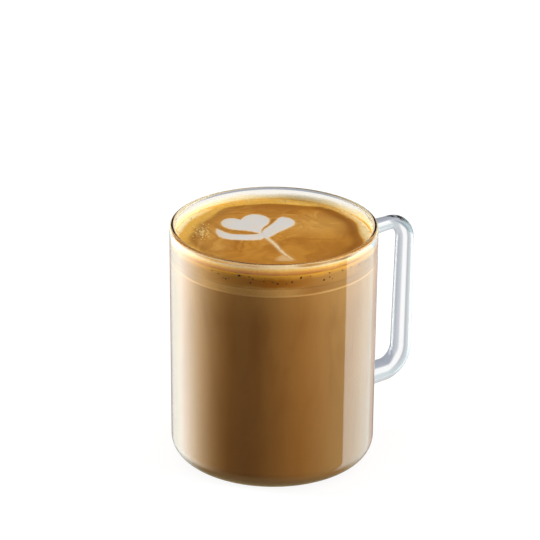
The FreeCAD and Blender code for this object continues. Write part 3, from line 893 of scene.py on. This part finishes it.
class MUG_OT_add_crema(bpy.types.Operator):
    """Add the crema with its rise at the glass"""
    bl_idname = "milk_coffee.add_crema"
    bl_label = "Crema"

    def execute(self, context):
        scene = context.scene
        sizes, drink, tulip = scene.mug_sizes, scene.drink, scene.tulip
        top_rings, side_rings, floor_rings = 96, 8, 6
        across = np.linspace(0, inner_radius(sizes, CREMA_HIGH.z) + drink.reach, top_rings)
        down = np.linspace(CREMA_HIGH.z, CREMA_LOW.z, side_rings + 1)[1:]
        side = np.stack([inner_radius(sizes, down) + drink.reach, down], -1)
        side[-1, 1] += EDGE
        back = np.linspace(side[-1, 0] - EDGE, 0, floor_rings)
        profile = np.concatenate([np.stack([across, 0 * across], -1), side,
                                  np.stack([back, 0 * back + CREMA_LOW.z], -1)])
        grid = lathe(profile, CREMA_SEGMENTS)
        x, y, z = np.moveaxis(grid, -1, 0)
        z[:top_rings] = surface_height(sizes, drink, x[:top_rings], y[:top_rings])
        tones = {**surface_tones(tulip, sizes, drink, x, y), **band_tones(drink, x, y)}
        piece = link_ring("crema_surface", grid, tones, turned_over=True)
        set_up(piece, crema_material(crema_colour_group(drink)), "crema", "crema")

        # The faces at the glass have a second material of their own.
        piece.data.materials.append(crema_side_material(drink))
        middle = np.empty(3 * len(piece.data.polygons))
        piece.data.polygons.foreach_get("center", middle)
        x, y, z = middle.reshape(-1, 3).T
        at_glass = np.hypot(x, y) > inner_radius(sizes, z) + 0.5 * drink.reach
        piece.data.polygons.foreach_set("material_index", at_glass.astype(np.int32))
        return {"FINISHED"}


class MUG_OT_add_tulip(bpy.types.Operator):
    """Add the poured milk tulip"""
    bl_idname = "milk_coffee.add_tulip"
    bl_label = "Milk tulip"

    def execute(self, context):
        scene = context.scene
        sizes, drink, tulip = scene.mug_sizes, scene.drink, scene.tulip
        margin, step = 0.7 * MM, 0.17 * MM
        outlines = tulip_outlines(tulip)
        points = np.concatenate(outlines)
        low, high = points.min(0) - 2 * margin, points.max(0) + 2 * margin
        x, y = np.meshgrid(np.arange(low[0], high[0], step), np.arange(low[1], high[1], step),
                           indexing="ij")
        off = np.min([distance_to(outline, x, y) for outline in outlines], axis=0)
        faces = grid_faces(*x.shape, False)
        faces = faces[off.ravel()[faces].min(1) < margin][:, ::-1]

        # What lies past the margin is drawn back to it, so that the edge is smooth.
        slope_x, slope_y = np.gradient(off, step)
        push = np.maximum(off - margin, 0)
        x, y = x - push * slope_x, y - push * slope_y
        off = np.minimum(off, margin)

        # The stem is thinner milk, away from the join.
        stem = distance_to(outlines[-1], x, y) < off + 0.02 * MM
        stem &= np.hypot(x - tulip.join_x, y - tulip.join_y) > 1.5 * MM
        milk = smoothstep(0.6 * MM, -0.9 * MM, off) * np.where(stem, 0.62, 1)
        crown = 0.32 * MM * smoothstep(0.45 * MM, -1.6 * MM, off)
        sunk = 0.09 * MM * smoothstep(0.1 * MM, margin, off)
        z = surface_height(sizes, drink, x, y) + crown - sunk
        used, index = np.unique(faces, return_inverse=True)
        x, y, z, milk = (values.ravel()[used] for values in (x, y, z, milk))
        tones = {**surface_tones(tulip, sizes, drink, x, y), "milk": milk}
        piece = link_mesh("milk_tulip_pour", np.stack([x, y, z], -1), index.reshape(-1, 4), tones)
        thicken(piece, 0.6 * MM, -1)
        set_up(piece, milk_material(drink, bpy.data.node_groups["crema_colour"]),
               "poured_milk", "milk_tulip")
        return {"FINISHED"}


def add_surface_bubbles(sizes, drink, draw):
    """Bubbles on the crema: a cluster at its left, and a ring along the wall."""
    cluster_count, ring_count = 90, 260
    wall = inner_radius(sizes, DRINK_LEVEL)
    cluster = draw.normal((-27.5 * MM, 6.0 * MM), (1.8 * MM, 4.5 * MM), (cluster_count, 2))
    bearing = draw.uniform(0, 2 * math.pi, ring_count)
    out = wall - np.abs(draw.normal(0, 1.1 * MM, ring_count)) - 0.3 * MM
    places = np.concatenate([on_axis((0, 0), drink.pour_turn, cluster[:, 0], cluster[:, 1]),
                             turned(out, 0.0, bearing)[:, :2]])
    radii = draw.uniform(0.12 * MM, 0.34 * MM, len(places))
    keep = np.hypot(*places.T) + radii < wall
    (x, y), radii = places[keep].T, radii[keep]
    centres = np.stack([x, y, surface_height(sizes, drink, x, y)], -1)
    upright = np.tile([0, 0, 1.0], (len(centres), 1))
    piece = spots("crema_bubbles", centres, upright, radii, 0.6)
    set_up(piece, bubble_material("bubble_film", drink.bubble), "crema")


def add_wall_bubbles(sizes, drink, draw):
    """Open bubbles in the crema against the front of the glass: dark domes whose colour is painted
    shade of their hollows.
    """
    count = 38
    bearing = drink.pour_turn - math.pi / 2 + draw.uniform(-1.3, 1.3, count)
    height = DRINK_LEVEL - draw.uniform(0.2 * MM, 3.4 * MM, count)
    radii = draw.uniform(0.16 * MM, 0.44 * MM, count)
    centres = turned(inner_radius(sizes, height) + drink.reach, height, bearing)
    piece = spots("wall_bubbles", centres, turned(1.0, 0.0, bearing), radii, 0.35)
    set_up(piece, bubble_material("painted_hollow_shade", drink.painted_hollow_shade), "crema")


class MUG_OT_add_bubbles(bpy.types.Operator):
    """Add the bubbles on the crema and against the glass"""
    bl_idname = "milk_coffee.add_bubbles"
    bl_label = "Bubbles"

    def execute(self, context):
        scene = context.scene
        draw = np.random.default_rng(7)
        add_surface_bubbles(scene.mug_sizes, scene.drink, draw)
        add_wall_bubbles(scene.mug_sizes, scene.drink, draw)
        return {"FINISHED"}


class MUG_OT_add_film(bpy.types.Operator):
    """Add the thin foam left on the glass above the drink"""
    bl_idname = "milk_coffee.add_film"
    bl_label = "Foam film"

    def execute(self, context):
        sizes, drink = context.scene.mug_sizes, context.scene.drink
        foot, tall = 0.3 * MM, 4.4 * MM
        bearing = full_turn(FILM_SEGMENTS)
        rise = np.linspace(-foot, tall, 24)[:, None]
        view = bearing - drink.pour_turn
        front = 0.5 - 0.5 * np.sin(view)
        beside = np.cos(view) ** 2
        back = smoothstep(0.0, 0.6, np.sin(view - 0.25))

        # One thick smear at the right, and a top edge that waves and dips at its shoulders.
        from_smear = view - math.radians(24)
        smear = bell(np.mod(from_smear + math.pi, 2 * math.pi) - math.pi, 0.33)
        shoulder = 0.6 * bell(front - 0.85, 0.1)
        waves = 0.2 * np.sin(7 * view) + 0.15 * np.sin(13 * view + 2)
        share = np.clip((rise + foot) / ((3.9 + 0.5 * front - shoulder + waves) * MM), 0, 1.4)
        cover = np.maximum(smoothstep(1.0, 0.35 + 0.45 * front, share),
                           0.95 * smear * smoothstep(1.1, 0.8, share))
        pale = 0.4 * smear + 0.3 * beside + 0.3 * back
        height = DRINK_LEVEL + rise
        inset = 0.05 * MM + 0.2 * MM * smear * smoothstep(tall, 1.5 * MM, rise)
        grid = turned(inner_radius(sizes, height) - inset, height, bearing)
        tones = {"cover": cover,
                 "rise": np.clip(rise / tall * (1 + pale) + 0.2 * pale + 0.35 * back, 0, 1)}
        piece = link_ring("foam_film", grid, tones, turned_over=True)
        thicken(piece, 0.06 * MM, 0)
        set_up(piece, film_material(drink), "milk_foam")
        return {"FINISHED"}


# ---------------------------------------------------------------- stage

def view_axes(stage):
    """Right, away and up as the camera sees them, level with the floor."""
    turn = stage.azimuth
    right = Vector((math.cos(turn), math.sin(turn), 0))
    away = Vector((-math.sin(turn), math.cos(turn), 0))
    return right, away, Vector((0, 0, 1))


def ring_of_tones(finish, bearing, *stops):
    """Tones round the mug by bearing from straight behind it, to the right, in degrees. A
    tone is a colour or the level of a grey."""
    tones = finish.add("ValToRGB", {0: bearing})
    elements = tones.node.color_ramp.elements
    elements[0].position, elements[1].position = 0.0, 1.0
    for degrees, _ in stops[1:-1]:
        elements.new(0.5 + degrees / 360)
    for element, (_, tone) in zip(elements, stops):
        element.color = (*(tone if isinstance(tone, tuple) else grey(tone)), 1.0)
    return tones


def build_world(stage):
    """White for the eye, even soft light for surfaces, and a studio of panels and dark
    gaps for what the glass mirrors and bends."""
    world = bpy.data.worlds.new("studio")
    bpy.context.scene.world = world
    world.use_nodes = True
    finish = Finish("", world.node_tree)
    path = finish.add("LightPath", output=None)
    where = finish.add("TexCoord", output="Generated")
    x, y, z = (finish.vectors("DOT_PRODUCT", where, axis, output="Value")
               for axis in view_axes(stage))
    bearing = finish.maths("MULTIPLY_ADD", finish.maths("ARCTAN2", x, y), 0.5 / math.pi, 0.5)
    panels = 6.0

    # What the glass mirrors: a warm panel at the left, a cool one at the right, dark gaps.
    mirrored = ring_of_tones(
        finish, bearing, (-180, 0.002), (-130, 0.004), (-118, (0.08, 0.07, 0.04)),
        (-107, (0.24, 0.21, 0.13)), (-98, (0.46, 0.41, 0.27)), (-89, (0.68, 0.61, 0.44)),
        (-79, (0.88, 0.86, 0.68)), (-68, (0.95, 0.96, 0.86)), (-55, (0.82, 0.92, 0.88)),
        (-39, (0.44, 0.54, 0.52)), (-25, (0.25, 0.29, 0.30)), (-17, 0.10), (0, 0.05),
        (15, 0.06), (24, 0.16), (32, (0.20, 0.23, 0.23)), (38, (0.30, 0.40, 0.41)),
        (50, (0.38, 0.50, 0.51)), (62, (0.46, 0.63, 0.63)), (91.2, (0.58, 0.76, 0.74)),
        (92.4, (0.09, 0.19, 0.12)), (107, (0.08, 0.17, 0.11)), (127, (0.03, 0.07, 0.05)),
        (145, 0.004), (180, 0.002))
    below = finish.ramp(z, -0.5, -0.8)
    mirrored = finish.mix(below, finish.brighter(mirrored, panels), (0.62, 0.54, 0.29))
    upper = ring_of_tones(
        finish, bearing, (-180, 0.02), (-110, 0.02), (-90, 0.5), (-62, 0.6), (-48, 0.02),
        (48, 0.02), (60, 0.6), (92, 0.6), (96, 0.02), (180, 0.02))
    upper = finish.mix(finish.ramp(z, 0.6, 0.85), finish.brighter(upper, panels), grey(0.6))
    mirrored = finish.mix(finish.ramp(z, 0.15, 0.35), mirrored, upper)

    # What it bends into view: white behind, with grey edges, and greyer towards the floor.
    bent = ring_of_tones(
        finish, bearing, (-180, 1.0), (-64, 0.95), (-38, (0.80, 0.81, 0.83)),
        (-22, (0.60, 0.62, 0.66)), (-13, (0.52, 0.54, 0.59)), (-8, 1.0), (6, 1.0),
        (13, (0.60, 0.63, 0.68)), (30, (0.46, 0.49, 0.55)), (70, (0.38, 0.41, 0.47)),
        (96, (0.42, 0.45, 0.51)), (108, 1.0), (180, 1.0))
    bent = finish.mix(finish.ramp(z, -0.34, -0.15, 0.0, 0.85), bent, (0.60, 0.64, 0.69))
    bent = finish.mix(finish.ramp(z, -0.47, -0.60), bent, (0.36, 0.39, 0.45))

    seen = finish.mix(path["Is Transmission Ray"], mirrored, bent)
    sky = finish.mix(finish.ramp(z, -0.2, 0.9), grey(0.64), grey(0.52))
    indirect = finish.maths("GREATER_THAN", path["Diffuse Depth"], 0.5)
    seen = finish.mix(indirect, seen, finish.brighter(sky, 0.6))
    sharp = finish.maths("MAXIMUM", path["Is Glossy Ray"], path["Is Transmission Ray"])
    tone = finish.mix(path["Is Camera Ray"], finish.mix(sharp, sky, seen), grey(1.0))
    finish.add("OutputWorld", {"Surface": finish.add("Background", {"Color": tone})}, None)


def add_sheet(name, middle, right, up, material):
    """Flat sheet of the stage, from its middle as far to each side as right and up say."""
    corners = np.array([middle + right * across + up * along
                        for across, along in ((-1, -1), (1, -1), (1, 1), (-1, 1))])
    sheet = link_mesh(name, corners, np.array([[0, 1, 2, 3]]))
    sheet.data.materials.append(material)
    return sheet


def add_floor():
    """Floor that stays white for the eye and keeps a share of the mug's shadow."""
    finish = Finish("stage_floor")
    half, share = 2.5, 0.22
    pale = finish.add("BsdfDiffuse", {"Color": grey(share)})
    glow = finish.add("Emission", {"Color": grey(1.0), "Strength": 1.03 - share * 0.85})
    seen = finish.add("AddShader", {0: pale, 1: glow})
    around = finish.add("BsdfDiffuse", {"Color": grey(0.35)})
    eye = finish.add("LightPath", output="Is Camera Ray")
    floor = add_sheet("stage_floor", Vector((0, 0, -0.4 * MM)), Vector((half, 0, 0)),
                      Vector((0, half, 0)), finish.finish(finish.mix_shaders(eye, around, seen)))
    floor.visible_glossy = floor.visible_transmission = False


def add_card(stage):
    """Grey card behind the mug that only mirrors see, so that the handle has a dark edge."""
    right, away, up = view_axes(stage)
    finish = Finish("stage_card")
    material = finish.finish(finish.add("Emission", {"Color": grey(0.30), "Strength": 1.0}))
    card = add_sheet("stage_card", away * 0.12 + up * 0.02, right * 0.045, up * 0.10, material)
    card.visible_camera = card.visible_diffuse = card.visible_transmission = False
    card.visible_shadow = False


def add_lamp(name, stage, bearing):
    """Square soft lamp at a bearing from straight behind the mug, aimed at its middle."""
    right, away, up = view_axes(stage)
    turn, rise, distance, side = math.radians(bearing), math.radians(16), 1.2, 0.5
    level = right * math.sin(turn) + away * math.cos(turn)
    towards = level * math.cos(rise) + up * math.sin(rise)
    light = bpy.data.lights.new(name, "AREA")
    light.shape, light.size, light.energy = "SQUARE", side, stage.lamp_power
    lamp = bpy.data.objects.new(name, light)
    lamp.location = Vector((0, 0, MUG_HEIGHT / 2)) + towards * distance
    lamp.rotation_euler = towards.to_track_quat("Z", "Y").to_euler()
    lamp.visible_glossy = lamp.visible_transmission = False
    bpy.context.scene.collection.objects.link(lamp)


def add_camera(stage):
    """Camera on the mug's middle, turned about its own axis by the roll, then aimed a
    little above and to the left."""
    right, away, up = view_axes(stage)
    back = up * math.sin(stage.elevation) - away * math.cos(stage.elevation)
    facing = Matrix((right, back.cross(right), back)).transposed()
    spin = Matrix.Rotation(stage.roll, 3, "Z")
    offset = Vector((math.tan(stage.aim_left), -math.tan(stage.aim_above), -1)).normalized()
    aim = offset.rotation_difference(Vector((0, 0, -1))).to_matrix()
    data = bpy.data.cameras.new("studio_camera")
    data.lens, data.sensor_width = stage.lens, 36
    data.clip_start, data.clip_end = 0.01, 20
    camera = bpy.data.objects.new("studio_camera", data)
    place = Vector((0, 0, MUG_HEIGHT / 2)) + back * stage.distance
    camera.matrix_world = Matrix.Translation(place) @ (facing @ spin @ aim).to_4x4()
    bpy.context.scene.collection.objects.link(camera)
    bpy.context.scene.camera = camera


class MUG_OT_add_stage(bpy.types.Operator):
    """Add the floor, the studio light and the camera"""
    bl_idname = "milk_coffee.add_stage"
    bl_label = "Stage"

    def execute(self, context):
        stage = context.scene.stage
        build_world(stage)
        add_floor()
        add_card(stage)
        add_lamp("right_lamp", stage, 106)
        add_lamp("left_lamp", stage, -74)
        add_camera(stage)
        context.scene.view_settings.view_transform = "Standard"
        return {"FINISHED"}


# ---------------------------------------------------------------- add-on

BUILDERS = (MUG_OT_add_glass, MUG_OT_add_coffee, MUG_OT_add_foam, MUG_OT_add_crema,
            MUG_OT_add_tulip, MUG_OT_add_bubbles, MUG_OT_add_film, MUG_OT_add_stage)


class VIEW3D_PT_milk_coffee(bpy.types.Panel):
    """Lists the pieces of the mug of milk coffee"""
    bl_label = "Milk coffee"
    bl_space_type = "VIEW_3D"
    bl_region_type = "UI"
    bl_category = "Milk coffee"

    def draw(self, context):
        for builder in BUILDERS:
            self.layout.operator(builder.bl_idname)


SETTINGS = {"mug_sizes": MugSizes, "drink": DrinkSettings, "tulip": TulipSettings,
            "stage": StageSettings}


def register():
    for group in SETTINGS.values():
        bpy.utils.register_class(group)
    for name, group in SETTINGS.items():
        setattr(bpy.types.Scene, name, bpy.props.PointerProperty(type=group))
    for operator in BUILDERS:
        bpy.utils.register_class(operator)
    bpy.utils.register_class(VIEW3D_PT_milk_coffee)


def unregister():
    bpy.utils.unregister_class(VIEW3D_PT_milk_coffee)
    for operator in reversed(BUILDERS):
        bpy.utils.unregister_class(operator)
    for name in SETTINGS:
        delattr(bpy.types.Scene, name)
    for group in SETTINGS.values():
        bpy.utils.unregister_class(group)


def main():
    """Makes every piece in order."""
    register()
    for builder in BUILDERS:
        category, name = builder.bl_idname.split(".")
        getattr(getattr(bpy.ops, category), name)()


if __name__ == "__main__":
    main()
